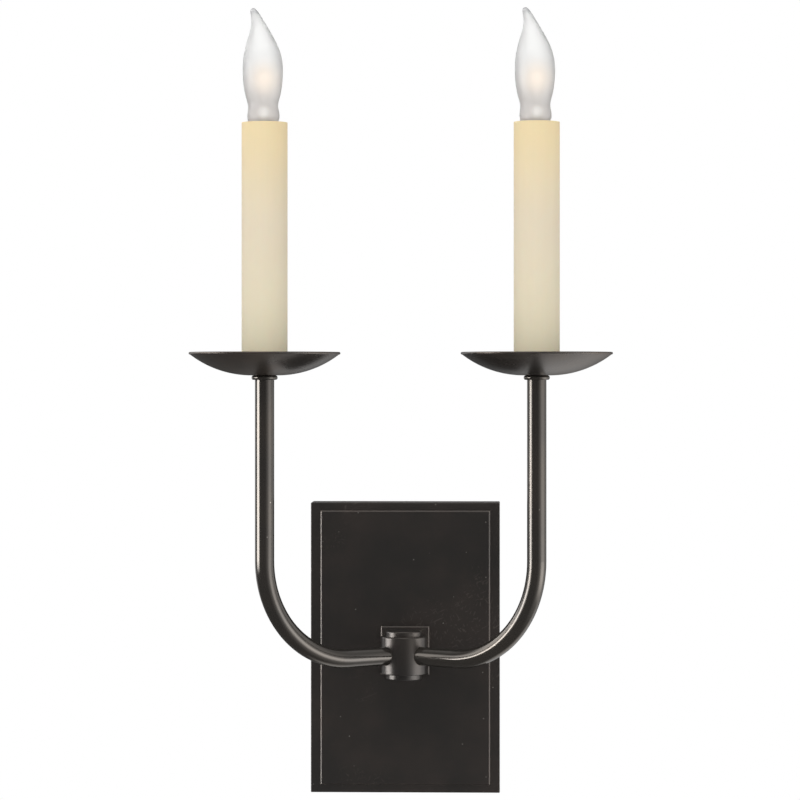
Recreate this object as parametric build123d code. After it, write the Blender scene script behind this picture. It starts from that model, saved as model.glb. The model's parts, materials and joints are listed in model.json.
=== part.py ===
from build123d import *
import math
import os

# A two-arm wall light with candle sleeves, drip dishes and bent-tip bulbs.
#
# Millimetres. +X runs to the right, +Y into the wall and +Z up. The wall plane is Y = 0, the
# front of the light looks along -Y, and the origin is the middle of the back plate at the wall.
# "Out" is a distance from the wall towards the room, so a point `out` from the wall has Y = -out.

# ---- fits ------------------------------------------------------------------------------------
FIT = 0.05                  # radial gap of pieces that are screwed or pushed together
RUNNING_FIT = 0.10          # radial gap of the bulb's cap in its socket
SEAT_GAP = 0.25             # gap under a loose piece that stands on a curved surface

# ---- back plate ------------------------------------------------------------------------------
PLATE_WIDTH = 106.0
PLATE_HEIGHT = 162.5
PLATE_DEPTH = 22.0          # wall to the plate's flat border
PLATE_WALL = 1.2
PLATE_CORNER = 0.5          # upright corners, seen from the front
PLATE_EDGE = 0.4            # rounding along the border's front edge
PANEL_SIDE_INSET = 5.5      # plate's side to the raised panel
PANEL_END_INSET = 4.45      # plate's top or bottom to the raised panel
PANEL_RISE = 0.9
PANEL_BEVEL = 0.6

# ---- hub -------------------------------------------------------------------------------------
HUB_DROP = 1.3              # hub's axis below the middle of the plate
PAD_SIZE = 27.0
PAD_THICK = 3.0
PAD_EDGE = 0.5
HUB_REACH = 28.0            # front of the pad to the barrel's axis
BARREL_RADIUS = 12.6
BARREL_HEIGHT = 20.7
BARREL_BORE = 8.8           # radius
BARREL_EDGE = 0.6
CAP_RADIUS = 9.85
CAP_HEIGHT = 3.0
CAP_EDGE = 0.7
CAP_SPIGOT = 2.6            # depth of the cap's spigot in the barrel
NECK_RADIUS = 7.0

# ---- lamp thread, nipple and its nut ---------------------------------------------------------
THREAD_RADIUS = 5.0
NIPPLE_BORE = 3.5           # radius
NIPPLE_IN_BARREL = 1.2      # nipple past the barrel's inner wall
NIPPLE_PAST_NUT = 1.6
WASHER_RADIUS = 8.2
WASHER_THICK = 1.0
NUT_FLATS = 14.0
NUT_HEIGHT = 4.0
BUSH_WALL = 0.45
BUSH_FLANGE = 0.8
BUSH_DEPTH = 4.0

# ---- arms ------------------------------------------------------------------------------------
ARM_SPREAD = 145.0          # stem to stem
ARM_FORWARD = 56.0          # barrel's axis to the stems' plane
ARM_RADIUS = 5.15
ARM_WALL = 1.0
BEND_RADIUS = 55.0
STEM_HEIGHT = 153.9         # arm's axis at the hub to the underside of the dish
ARM_IN_WALL = 0.5           # arm's end stays this far out of the barrel's bore

# ---- collar and dish -------------------------------------------------------------------------
COLLAR_RADIUS = 6.95
COLLAR_HEIGHT = 2.4
COLLAR_EDGE = 1.1
DISH_RADIUS = 40.45
DISH_DEPTH = 12.5
DISH_WALL = 1.0
DISH_FLAT = 7.0             # radius of the flat middle
DISH_BEAD = 0.7             # radius of the rim's bead

# ---- lampholder ------------------------------------------------------------------------------
BRACKET_THICK = 1.2
BRACKET_WIDTH = 6.0
SOCKET_RADIUS = 8.5
SOCKET_HEIGHT = 28.0
SOCKET_DROP = 4.0           # socket's top below the sleeve's top
SOCKET_POCKET = 16.5        # depth of the pocket for the bulb's cap
SOCKET_SKIN = 0.35          # wall of the brass screw shell
SOCKET_EDGE = 0.6
BRACKET_LAP = 8.0           # length of the strap on the socket's side
RIVET_RADIUS = 1.2
RIVET_HEAD = 1.9            # radius
RIVET_HEAD_HEIGHT = 0.5
RIVET_DEPTH = 1.0           # length in the socket's wall
CONTACT_THICK = 0.4
CONTACT_RADIUS = 3.2

# ---- candle sleeve ---------------------------------------------------------------------------
CANDLE_HEIGHT = 122.25      # dish rim to the sleeve's top
SLEEVE_RADIUS = 12.25
SLEEVE_WALL = 0.5

# ---- bulb ------------------------------------------------------------------------------------
CAP_PROUD = 1.8             # bulb cap's top above the socket's top
BULB_CAP_RADIUS = 5.95
BULB_CAP_LENGTH = 13.0
BULB_CAP_WALL = 0.3
INSULATOR_LENGTH = 2.6
INSULATOR_FOOT = 3.2        # radius
TIP_CONTACT_RADIUS = 2.4
TIP_CONTACT_HEIGHT = 0.9
GLASS_WALL = 0.7
GLASS_NECK_LENGTH = 5.0     # length of the glass in its cap
TIP_BEAD = 1.55             # radius of the sealed bead at the tip
# The glass above its cap: height, radius and how far its centre leans to the left.
GLASS_SECTIONS = (
    (0.0, 5.9, 0.0),
    (2.2, 7.7, 0.3),
    (4.0, 8.4, 0.5),
    (6.8, 8.5, 0.65),
    (10.6, 8.0, 0.8),
    (16.3, 9.15, 0.9),
    (23.0, 10.35, 0.95),
    (30.0, 10.7, 0.95),
    (35.2, 10.4, 1.1),
    (41.6, 9.0, 1.65),
    (48.6, 6.3, 2.45),
    (54.8, 3.75, 3.5),
    (59.3, 2.4, 4.9),
    (61.7, 1.7, 6.0),
)
STEM_TIP = 1.6              # radius of the glass stem where the leads come out
STEM_LENGTH = 16.0
LEAD_RADIUS = 0.25
LEAD_SPREAD = 1.0           # lead's axis from the bulb's axis at the stem
FILAMENT_HEIGHT = 27.0      # above the cap
FILAMENT_RADIUS = 0.45
FILAMENT_SPAN = 5.0         # half length
FILAMENT_RISE = 2.5

# ---- wires -----------------------------------------------------------------------------------
WIRE_RADIUS = 1.0
WIRE_SIDE = 1.3             # a wire's axis beside the arm's axis
WIRE_LEVEL = 1.25           # left pair above the arm's axis, right pair below it
WIRE_HUB_TURN = 18.0        # radius of the turn in the barrel
WIRE_BACK_TURN = 7.0        # radius of the turn behind the plate
WIRE_BACK_OUT = 7.0         # wires' run behind the plate, out from the wall
WIRE_NUT_AT = 14.0          # mouth of a wire nut from the middle
WIRE_IN_NUT = 8.0
WIRE_NUT_LENGTH = 18.0
WIRE_NUT_MOUTH = 5.6        # radii
WIRE_NUT_TIP = 4.0
WIRE_NUT_BORE_DEPTH = 11.0

# ---- mounting crossbar and its screws --------------------------------------------------------
STRAP_WIDTH = 16.0
STRAP_THICK = 2.0
STRAP_END_GAP = 0.3         # between an ear and the inside of the plate
EAR_DEPTH = 15.0            # wall to the ear's front edge
SLOT_SPACING = 79.4         # between the middles of the two slots
SLOT_LENGTH = 14.0
SLOT_RADIUS = 2.25
CENTRE_HOLE_RADIUS = 4.6    # minor radius of the lamp thread
SET_SCREW_OUT = 9.0         # set screws' axis out from the wall
SET_SCREW_RADIUS = 2.0
SET_SCREW_SUNK = 0.1        # screw's end below the plate's edge
HEX_SOCKET_RADIUS = 1.1
HEX_SOCKET_DEPTH = 1.6
GROUND_SCREW_AT = 20.0      # above the crossbar's middle
GROUND_SCREW_RADIUS = 2.0
GROUND_HEAD_RADIUS = 4.2
GROUND_HEAD_HEIGHT = 2.6
GROUND_SLOT = 1.0

# ---- places worked out from the sizes above --------------------------------------------------
PANEL_FRONT = PLATE_DEPTH + PANEL_RISE
PAD_FRONT = PANEL_FRONT + PAD_THICK
HUB_OUT = PAD_FRONT + HUB_REACH
HUB_Z = -HUB_DROP
STEM_OUT = HUB_OUT + ARM_FORWARD
STEM_X = ARM_SPREAD / 2
ARM_REACH = math.hypot(STEM_X, ARM_FORWARD)
ARM_ANGLE = math.atan2(ARM_FORWARD, STEM_X)
SEAT_Z = HUB_Z + STEM_HEIGHT
RIM_Z = SEAT_Z + DISH_DEPTH
LEG_INSIDE = SOCKET_RADIUS + FIT
LEG_CORNER = math.hypot(LEG_INSIDE + BRACKET_THICK, BRACKET_WIDTH / 2)
SLEEVE_TOP_Z = RIM_Z + CANDLE_HEIGHT
SOCKET_TOP_Z = SLEEVE_TOP_Z - SOCKET_DROP
SOCKET_BOTTOM_Z = SOCKET_TOP_Z - SOCKET_HEIGHT
BULB_Z = SOCKET_TOP_Z + CAP_PROUD
SHELL_RADIUS = BULB_CAP_RADIUS + RUNNING_FIT
GLASS_NECK = BULB_CAP_RADIUS - BULB_CAP_WALL - FIT
STEM_FOOT = GLASS_NECK - GLASS_WALL - FIT
PLATE_INSIDE = PLATE_HEIGHT / 2 - PLATE_WALL
EAR_OUTSIDE = PLATE_INSIDE - STRAP_END_GAP
EAR_INSIDE = EAR_OUTSIDE - STRAP_THICK
NUT_BACK = PANEL_FRONT - PLATE_WALL - WASHER_THICK - NUT_HEIGHT

SIDES = {"left": -1, "right": 1}
UP = (Align.CENTER, Align.CENTER, Align.MIN)


# ---- shapes used by several pieces -----------------------------------------------------------
def block(width, height, corner, near, far, z=0.0):
    """A block seen from the front as width by height, from `near` to `far` out of the wall."""
    outline = RectangleRounded(width, height, corner) if corner > 0 else Rectangle(width, height)
    return extrude(Plane.XZ.offset(near) * Pos(0, z) * outline, far - near)


def rod_out(radius, near, far, x=0.0, z=0.0):
    """A round bar square to the wall, from `near` to `far` out of it."""
    return extrude(Plane.XZ.offset(near) * Pos(x, z) * Circle(radius), far - near)


def tube(outer, inner, length):
    return extrude(Circle(outer) - Circle(inner), length)


def hexagon(flats, hole, length):
    return extrude(RegularPolygon(flats / 2, 6, major_radius=False) - Circle(hole), length)


def cone(low_radius, high_radius, length):
    return Cone(low_radius, high_radius, length, align=UP)


def front_edges(shape):
    return shape.faces().sort_by(Axis.Y)[0].outer_wire().edges()


def end_edges(shape):
    """The round edges of the top and bottom faces."""
    flat = shape.faces().sort_by(Axis.Z)
    return flat[0].outer_wire().edges() + flat[-1].outer_wire().edges()


def at_hub():
    return Pos(0, -HUB_OUT, HUB_Z)


def at_stem(side, z):
    return Pos(SIDES[side] * STEM_X, -STEM_OUT, z)


def arm_plane(side, sideways=0.0):
    """The upright plane through hub and stem: x outwards along the arm, y up, z level."""
    outwards = Vector(SIDES[side] * math.cos(ARM_ANGLE), -math.sin(ARM_ANGLE), 0)
    level = outwards.cross(Vector(0, 0, 1))
    origin = Vector(0, -HUB_OUT, HUB_Z) + level * sideways
    return Plane(origin, x_dir=outwards, z_dir=level)


def arm_bar(radius, near, far, side):
    """A level bar along the arm, from `near` to `far` from the barrel's axis."""
    plane = arm_plane(side)
    start = Plane(plane.origin + plane.x_dir * near, z_dir=plane.x_dir)
    return extrude(start * Circle(radius), far - near)


def hub_z_rod(radius, near, far):
    return rod_out(radius, near, far, z=HUB_Z)


# ---- plate and what is behind it -------------------------------------------------------------
def backplate():
    body = block(PLATE_WIDTH, PLATE_HEIGHT, PLATE_CORNER, 0, PLATE_DEPTH)
    body = fillet(front_edges(body), PLATE_EDGE)
    panel_width = PLATE_WIDTH - 2 * PANEL_SIDE_INSET
    panel_height = PLATE_HEIGHT - 2 * PANEL_END_INSET
    panel = block(panel_width, panel_height, 0, PLATE_DEPTH - PLATE_WALL, PANEL_FRONT)
    body += chamfer(front_edges(panel), PANEL_BEVEL)
    skin = 2 * PLATE_WALL
    inner_corner = max(PLATE_CORNER - PLATE_WALL, 0.0)
    body -= block(PLATE_WIDTH - skin, PLATE_HEIGHT - skin, inner_corner, 0, PLATE_DEPTH - PLATE_WALL)
    body -= block(panel_width - skin, panel_height - skin, 0, 0, PANEL_FRONT - PLATE_WALL)
    body -= hub_z_rod(THREAD_RADIUS + FIT, 0, PANEL_FRONT)
    body -= Pos(0, -SET_SCREW_OUT, 0) * Cylinder(SET_SCREW_RADIUS + FIT, PLATE_HEIGHT)
    return body


def mounting_crossbar():
    """The flat strap over the outlet box, between its two bent ears."""
    strap = block(STRAP_WIDTH, 2 * EAR_INSIDE, 0, 0, STRAP_THICK)
    for end in (-1, 1):
        slot = Rot(0, 0, 90) * SlotOverall(SLOT_LENGTH, 2 * SLOT_RADIUS)
        strap -= extrude(Plane.XZ * Pos(0, end * SLOT_SPACING / 2) * slot, STRAP_THICK)
    strap -= rod_out(CENTRE_HOLE_RADIUS, 0, STRAP_THICK)
    return strap - rod_out(GROUND_SCREW_RADIUS + FIT, 0, STRAP_THICK, z=GROUND_SCREW_AT)


def crossbar_ears():
    """The strap's ends, bent towards the room, with the holes that the set screws turn in."""
    hole = Pos(0, -SET_SCREW_OUT, 0) * Cylinder(SET_SCREW_RADIUS + FIT, PLATE_HEIGHT)
    middle = EAR_OUTSIDE - STRAP_THICK / 2
    return [
        block(STRAP_WIDTH, STRAP_THICK, 0, 0, EAR_DEPTH, end * middle) - hole for end in (-1, 1)
    ]


def plate_set_screws():
    """Two headless screws, from just under the plate's edges to the inside of the ears."""
    outer = PLATE_HEIGHT / 2 - SET_SCREW_SUNK
    length = outer - EAR_INSIDE
    screws = []
    for end in (-1, 1):
        screw = Cylinder(SET_SCREW_RADIUS, length, align=UP)
        socket = RegularPolygon(HEX_SOCKET_RADIUS, 6)
        screw -= Pos(0, 0, length) * extrude(socket, -HEX_SOCKET_DEPTH)
        turn = Rot(0, 0, 0) if end > 0 else Rot(180, 0, 0)
        screws.append(Pos(0, -SET_SCREW_OUT, end * (outer - length)) * turn * screw)
    return screws


def ground_screw():
    screw = rod_out(GROUND_SCREW_RADIUS, 0, STRAP_THICK, z=GROUND_SCREW_AT)
    head_front = STRAP_THICK + GROUND_HEAD_HEIGHT
    screw += rod_out(GROUND_HEAD_RADIUS, STRAP_THICK, head_front, z=GROUND_SCREW_AT)
    slot_near = head_front - GROUND_SLOT
    screw -= block(2 * GROUND_HEAD_RADIUS, GROUND_SLOT, 0, slot_near, head_front, GROUND_SCREW_AT)
    return screw


# ---- hub -------------------------------------------------------------------------------------
def hub_pad():
    pad = block(PAD_SIZE, PAD_SIZE, 0, PANEL_FRONT, PAD_FRONT, HUB_Z)
    pad = chamfer(front_edges(pad), PAD_EDGE)
    return pad - hub_z_rod(THREAD_RADIUS + FIT, PANEL_FRONT, PAD_FRONT)


def hub_neck():
    """The spacer between pad and barrel, its front hollowed to sit on the round barrel."""
    neck = hub_z_rod(NECK_RADIUS, PAD_FRONT, HUB_OUT)
    neck -= at_hub() * Cylinder(BARREL_RADIUS, 2 * NECK_RADIUS + BARREL_HEIGHT)
    return neck - hub_z_rod(THREAD_RADIUS + FIT, PAD_FRONT, HUB_OUT)


def hub_nipple():
    front = HUB_OUT - BARREL_BORE + NIPPLE_IN_BARREL
    back = NUT_BACK - NIPPLE_PAST_NUT
    return hub_z_rod(THREAD_RADIUS, back, front) - hub_z_rod(NIPPLE_BORE, back, front)


def nipple_lock_washer():
    inside = PANEL_FRONT - PLATE_WALL
    washer = hub_z_rod(WASHER_RADIUS, inside - WASHER_THICK, inside)
    return washer - hub_z_rod(THREAD_RADIUS + FIT, inside - WASHER_THICK, inside)


def nipple_nut():
    nut = hexagon(NUT_FLATS, THREAD_RADIUS + FIT, NUT_HEIGHT)
    return Plane.XZ.offset(NUT_BACK) * Pos(0, HUB_Z) * nut


def bushing(bore):
    """A flanged liner for the end of a tube; its flange lies on the tube's end."""
    outer = bore - FIT
    liner = tube(outer, outer - BUSH_WALL, BUSH_DEPTH)
    flange = tube(bore + ARM_WALL, outer - BUSH_WALL, BUSH_FLANGE)
    return Pos(0, 0, -BUSH_DEPTH) * liner + flange


def nipple_bushing():
    back = NUT_BACK - NIPPLE_PAST_NUT
    into_room = Plane(Vector(0, -back, HUB_Z), x_dir=Vector(1, 0, 0), z_dir=Vector(0, 1, 0))
    return into_room * bushing(NIPPLE_BORE)


def hub_barrel():
    barrel = fillet(end_edges(Cylinder(BARREL_RADIUS, BARREL_HEIGHT)), BARREL_EDGE)
    barrel -= Cylinder(BARREL_BORE, BARREL_HEIGHT)
    barrel = at_hub() * barrel
    for side in SIDES:
        barrel -= arm_bar(ARM_RADIUS + FIT, BARREL_BORE / 2, BARREL_RADIUS, side)
    return barrel - hub_z_rod(THREAD_RADIUS + FIT, HUB_OUT - BARREL_RADIUS, HUB_OUT)


def barrel_cap(end):
    """A turned cap with a spigot in the barrel; end is 1 for the top and -1 for the bottom."""
    head = fillet(end_edges(Cylinder(CAP_RADIUS, CAP_HEIGHT, align=UP))[1:], CAP_EDGE)
    spigot = Cylinder(BARREL_BORE - FIT, CAP_SPIGOT, align=UP)
    cap = Pos(0, 0, BARREL_HEIGHT / 2) * (head + Pos(0, 0, -CAP_SPIGOT) * spigot)
    return at_hub() * (cap if end > 0 else Rot(180, 0, 0) * cap)


# ---- arms ------------------------------------------------------------------------------------
def arm(side):
    plane = arm_plane(side)
    inner = BARREL_BORE + ARM_IN_WALL
    path = FilletPolyline(
        (inner, 0),
        (ARM_REACH, 0),
        (ARM_REACH, stem_top_z() - HUB_Z),
        radius=BEND_RADIUS,
    )
    start = Plane(Vector(inner, 0, 0), z_dir=Vector(1, 0, 0))
    section = start * (Circle(ARM_RADIUS) - Circle(ARM_RADIUS - ARM_WALL))
    return plane * sweep(section, path)


def collar(side):
    ring = fillet(end_edges(Cylinder(COLLAR_RADIUS, COLLAR_HEIGHT, align=UP)), COLLAR_EDGE)
    ring -= Cylinder(ARM_RADIUS + FIT, COLLAR_HEIGHT, align=UP)
    return at_stem(side, SEAT_Z - COLLAR_HEIGHT) * ring


def dish_arc():
    """Radius of the dish's wall, mid-thickness, and the angle that it turns up to the rim."""
    across = DISH_RADIUS - DISH_BEAD - DISH_FLAT
    rise = DISH_DEPTH - DISH_BEAD - DISH_WALL / 2
    radius = (across**2 + rise**2) / (2 * rise)
    return radius, math.asin(across / radius)


def dish_inner_height(radius):
    """Height of the dish's inner surface above its underside, at a distance from its axis."""
    middle, _ = dish_arc()
    inner = middle - DISH_WALL / 2
    along = max(radius - DISH_FLAT, 0.0)
    return DISH_WALL + inner - math.sqrt(inner**2 - along**2)


def dish(side):
    middle, turn = dish_arc()
    centre_z = middle + DISH_WALL / 2
    outer = middle + DISH_WALL / 2
    inner = middle - DISH_WALL / 2

    def on_wall(radius, angle):
        return (DISH_FLAT + radius * math.sin(angle), centre_z - radius * math.cos(angle))

    hole = ARM_RADIUS + FIT
    wall = make_face(
        [
            Edge.make_line((hole, 0), (DISH_FLAT, 0)),
            ThreePointArc((DISH_FLAT, 0), on_wall(outer, turn / 2), on_wall(outer, turn)),
            Edge.make_line(on_wall(outer, turn), on_wall(inner, turn)),
            ThreePointArc(on_wall(inner, turn), on_wall(inner, turn / 2), (DISH_FLAT, DISH_WALL)),
            Edge.make_line((DISH_FLAT, DISH_WALL), (hole, DISH_WALL)),
            Edge.make_line((hole, DISH_WALL), (hole, 0)),
        ]
    )
    section = wall + Pos(*on_wall(middle, turn)) * Circle(DISH_BEAD)
    return at_stem(side, SEAT_Z) * revolve(Plane.XZ * section, Axis.Z)


# ---- lampholder ------------------------------------------------------------------------------
def foot_z():
    """Underside of the bracket's foot, whose corners reach past the dish's flat middle."""
    return SEAT_Z + dish_inner_height(LEG_CORNER)


def stem_top_z():
    return foot_z() + BRACKET_THICK + NUT_HEIGHT + NIPPLE_PAST_NUT


def socket_bracket(side):
    """A strap bent into a U: its foot lies on the dish and its legs hold the socket's sides."""
    length = SOCKET_BOTTOM_Z + BRACKET_LAP - foot_z()
    strap = Box(2 * (LEG_INSIDE + BRACKET_THICK), BRACKET_WIDTH, BRACKET_THICK, align=UP)
    strap += Cylinder(ARM_RADIUS + BRACKET_WIDTH / 2, BRACKET_THICK, align=UP)
    strap -= Cylinder(ARM_RADIUS + FIT, BRACKET_THICK, align=UP)
    hole_z = length - BRACKET_LAP / 2
    hole = Pos(0, 0, hole_z) * Rot(0, 90, 0) * Cylinder(RIVET_RADIUS + FIT, 4 * SOCKET_RADIUS)
    for end in (-1, 1):
        leg = Box(BRACKET_THICK, BRACKET_WIDTH, length, align=UP)
        strap += Pos(end * (LEG_INSIDE + BRACKET_THICK / 2), 0, 0) * leg - hole
    return at_stem(side, foot_z()) * strap


def dish_nut(side):
    nut = hexagon(NUT_FLATS, ARM_RADIUS + FIT, NUT_HEIGHT)
    return at_stem(side, foot_z() + BRACKET_THICK) * nut


def wire_bushing(side):
    return at_stem(side, stem_top_z()) * bushing(ARM_RADIUS - ARM_WALL)


def socket_body(side):
    body = Cylinder(SOCKET_RADIUS, SOCKET_HEIGHT, align=UP)
    body = fillet(body.faces().sort_by(Axis.Z)[-1].outer_wire().edges(), SOCKET_EDGE)
    pocket = Cylinder(SHELL_RADIUS + SOCKET_SKIN + FIT, SOCKET_POCKET, align=UP)
    body -= Pos(0, 0, SOCKET_HEIGHT - SOCKET_POCKET) * pocket
    seat = SOCKET_RADIUS - RIVET_DEPTH
    for end in (-1, 1):
        hole = Cylinder(RIVET_RADIUS + FIT, SOCKET_RADIUS, align=UP)
        body -= Pos(end * seat, 0, BRACKET_LAP / 2) * Rot(0, end * 90, 0) * hole
    return at_stem(side, SOCKET_BOTTOM_Z) * body


def bracket_rivets(side):
    rivets = []
    face = LEG_INSIDE + BRACKET_THICK
    shank = RIVET_DEPTH + FIT + BRACKET_THICK
    for end in (-1, 1):
        rivet = Cylinder(RIVET_RADIUS, shank, align=UP)
        rivet += Pos(0, 0, shank) * Cylinder(RIVET_HEAD, RIVET_HEAD_HEIGHT, align=UP)
        turned = Pos(end * (face - shank), 0, BRACKET_LAP / 2) * Rot(0, end * 90, 0) * rivet
        rivets.append(at_stem(side, SOCKET_BOTTOM_Z) * turned)
    return rivets


def socket_shell(side):
    depth = SOCKET_POCKET - CONTACT_THICK
    return at_stem(side, SOCKET_TOP_Z - depth) * tube(SHELL_RADIUS + SOCKET_SKIN, SHELL_RADIUS, depth)


def socket_contact(side):
    """The centre contact, from the pocket's floor up to the bulb's contact."""
    floor_z = SOCKET_TOP_Z - SOCKET_POCKET
    reach = BULB_Z - BULB_CAP_LENGTH - INSULATOR_LENGTH - TIP_CONTACT_HEIGHT - FIT
    tongue = Cylinder(CONTACT_RADIUS, CONTACT_THICK, align=UP)
    tongue += Cylinder(CONTACT_RADIUS / 2, reach - floor_z, align=UP)
    return at_stem(side, floor_z) * tongue


# ---- candle sleeve ---------------------------------------------------------------------------
def candle_sleeve(side):
    bottom = SEAT_Z + dish_inner_height(SLEEVE_RADIUS) + SEAT_GAP
    sleeve = tube(SLEEVE_RADIUS, SLEEVE_RADIUS - SLEEVE_WALL, SLEEVE_TOP_Z - bottom)
    return at_stem(side, bottom) * sleeve


# ---- bulb ------------------------------------------------------------------------------------
def glass_form(shrink):
    """The glass above its cap, as one smooth skin; `shrink` makes it smaller all round."""
    rounds = []
    for place, (height, radius, lean) in enumerate(GLASS_SECTIONS):
        low = GLASS_SECTIONS[max(place - 1, 0)]
        high = GLASS_SECTIONS[min(place + 1, len(GLASS_SECTIONS) - 1)]
        slope = (high[2] - low[2]) / (high[0] - low[0]) if place else 0.0
        middle = Vector(-lean, 0, height)
        across = Plane(middle, x_dir=Vector(1, 0, slope), z_dir=Vector(-slope, 0, 1))
        rounds.append(across * Circle(radius - shrink))
    return loft(rounds)


def bulb_glass(side):
    top = GLASS_SECTIONS[-1]
    glass = glass_form(0.0)
    glass += Pos(-top[2], 0, top[0]) * Sphere(TIP_BEAD)
    glass += Pos(0, 0, -GLASS_NECK_LENGTH) * Cylinder(GLASS_NECK, GLASS_NECK_LENGTH, align=UP)
    glass -= glass_form(GLASS_WALL)
    bore = Cylinder(GLASS_NECK - GLASS_WALL, GLASS_NECK_LENGTH, align=UP)
    glass -= Pos(0, 0, -GLASS_NECK_LENGTH) * bore
    return at_stem(side, BULB_Z) * glass


def bulb_shell(side):
    shell = tube(BULB_CAP_RADIUS, BULB_CAP_RADIUS - BULB_CAP_WALL, BULB_CAP_LENGTH)
    return at_stem(side, BULB_Z - BULB_CAP_LENGTH - FIT) * shell


def bulb_insulator(side):
    foot = at_stem(side, BULB_Z - BULB_CAP_LENGTH - INSULATOR_LENGTH - FIT)
    return foot * cone(INSULATOR_FOOT, BULB_CAP_RADIUS, INSULATOR_LENGTH)


def bulb_contact(side):
    drop = BULB_CAP_LENGTH + INSULATOR_LENGTH + TIP_CONTACT_HEIGHT
    return at_stem(side, BULB_Z - drop) * Cylinder(TIP_CONTACT_RADIUS, TIP_CONTACT_HEIGHT - FIT, align=UP)


def bulb_stem(side):
    foot = at_stem(side, BULB_Z - GLASS_NECK_LENGTH)
    return foot * cone(STEM_FOOT, STEM_TIP, STEM_LENGTH)


def lead_lean():
    """A lead's foot and head, in the bulb's own X and height above the cap."""
    foot = (LEAD_SPREAD, STEM_LENGTH - GLASS_NECK_LENGTH)
    return foot, (FILAMENT_SPAN, FILAMENT_HEIGHT)


def bulb_leads(side):
    leads = []
    for end in (-1, 1):
        (foot_x, stem_end), (head_x, head_z) = lead_lean()
        start = Vector(end * foot_x, 0, stem_end)
        path = Edge.make_line(start, Vector(end * head_x, 0, head_z))
        lead = sweep(Plane(start, z_dir=path % 0) * Circle(LEAD_RADIUS), path)
        lead -= Pos(0, 0, stem_end - STEM_LENGTH) * Cylinder(STEM_FOOT, STEM_LENGTH, align=UP)
        leads.append(at_stem(side, BULB_Z) * lead)
    return leads


def bulb_filament(side):
    reach = FILAMENT_SPAN
    height = FILAMENT_HEIGHT + LEAD_RADIUS + FILAMENT_RADIUS
    start = Vector(-reach, 0, height)
    crown = Vector(0, 0, height + FILAMENT_RISE)
    path = ThreePointArc(start, crown, Vector(reach, 0, height))
    coil = sweep(Plane(start, z_dir=path % 0) * Circle(FILAMENT_RADIUS), path)
    return at_stem(side, BULB_Z) * coil


# ---- wires -----------------------------------------------------------------------------------
def wire_route(side, beside):
    """One wire's axis, from the socket down the arm, through hub and nipple, to its wire nut.

    `beside` is -1 or 1: the wire of the pair that turns left or right behind the plate.
    """
    sign = SIDES[side]
    level = WIRE_LEVEL if side == "left" else -WIRE_LEVEL
    plane = arm_plane(side, sideways=sign * WIRE_SIDE * beside)
    stem = ARM_REACH - level
    top = SOCKET_BOTTOM_Z - HUB_Z

    def in_arm(along, up):
        return plane.origin + plane.x_dir * along + Vector(0, 0, up)

    # The wire meets the line that runs back through the nipple beside the hub's axis.
    back_x = WIRE_SIDE * beside
    meet = (back_x - plane.origin.X) / plane.x_dir.X
    corner = in_arm(meet, level)
    turn = Vector(back_x, -WIRE_BACK_OUT, HUB_Z + level)
    end = Vector(beside * (WIRE_NUT_AT + WIRE_IN_NUT), -WIRE_BACK_OUT, HUB_Z + level)
    radii = [BEND_RADIUS - level, WIRE_HUB_TURN, WIRE_BACK_TURN]
    return FilletPolyline(in_arm(stem, top), in_arm(stem, level), corner, turn, end, radius=radii)


def arm_wires(side):
    wires = []
    for beside in (-1, 1):
        path = wire_route(side, beside)
        section = Plane(path @ 0, z_dir=path % 0) * Circle(WIRE_RADIUS)
        wires.append(sweep(section, path))
    return wires


def wire_nuts():
    nuts = []
    bore = WIRE_LEVEL + WIRE_RADIUS + FIT
    for end in (-1, 1):
        nut = cone(WIRE_NUT_MOUTH, WIRE_NUT_TIP, WIRE_NUT_LENGTH)
        nut -= Cylinder(bore, WIRE_NUT_BORE_DEPTH, align=UP)
        mouth = Pos(end * WIRE_NUT_AT, -WIRE_BACK_OUT, HUB_Z)
        nuts.append(mouth * Rot(0, end * 90, 0) * nut)
    return nuts


# ---- all pieces ------------------------------------------------------------------------------
PIECES = {
    "backplate": backplate,
    "mounting_crossbar": mounting_crossbar,
    "crossbar_ears": crossbar_ears,
    "plate_set_screws": plate_set_screws,
    "ground_screw": ground_screw,
    "hub_pad": hub_pad,
    "hub_neck": hub_neck,
    "hub_nipple": hub_nipple,
    "nipple_lock_washer": nipple_lock_washer,
    "nipple_nut": nipple_nut,
    "nipple_bushing": nipple_bushing,
    "hub_barrel": hub_barrel,
    "barrel_top_cap": lambda: barrel_cap(1),
    "barrel_bottom_cap": lambda: barrel_cap(-1),
    "wire_nuts": wire_nuts,
}

PIECES_PER_SIDE = {
    "arm": arm,
    "collar": collar,
    "dish": dish,
    "dish_nut": dish_nut,
    "socket_bracket": socket_bracket,
    "bracket_rivets": bracket_rivets,
    "socket_body": socket_body,
    "socket_shell": socket_shell,
    "socket_contact": socket_contact,
    "wire_bushing": wire_bushing,
    "arm_wires": arm_wires,
    "candle_sleeve": candle_sleeve,
    "bulb_glass": bulb_glass,
    "bulb_shell": bulb_shell,
    "bulb_insulator": bulb_insulator,
    "bulb_contact": bulb_contact,
    "bulb_stem": bulb_stem,
    "bulb_leads": bulb_leads,
    "bulb_filament": bulb_filament,
}


def write(name, made):
    solids = made if isinstance(made, list) else [made]
    bodies = [solid for shape in solids for solid in shape.solids()]
    whole = bodies[0] if len(bodies) == 1 else Compound(children=bodies)
    export_step(whole, f"parts/{name}.step")


def main():
    os.makedirs("parts", exist_ok=True)
    for name, make in PIECES.items():
        write(name, make())
    for side in SIDES:
        for name, make in PIECES_PER_SIDE.items():
            write(f"{side}_{name}", make(side))


main()
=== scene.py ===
import json
import math

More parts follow.
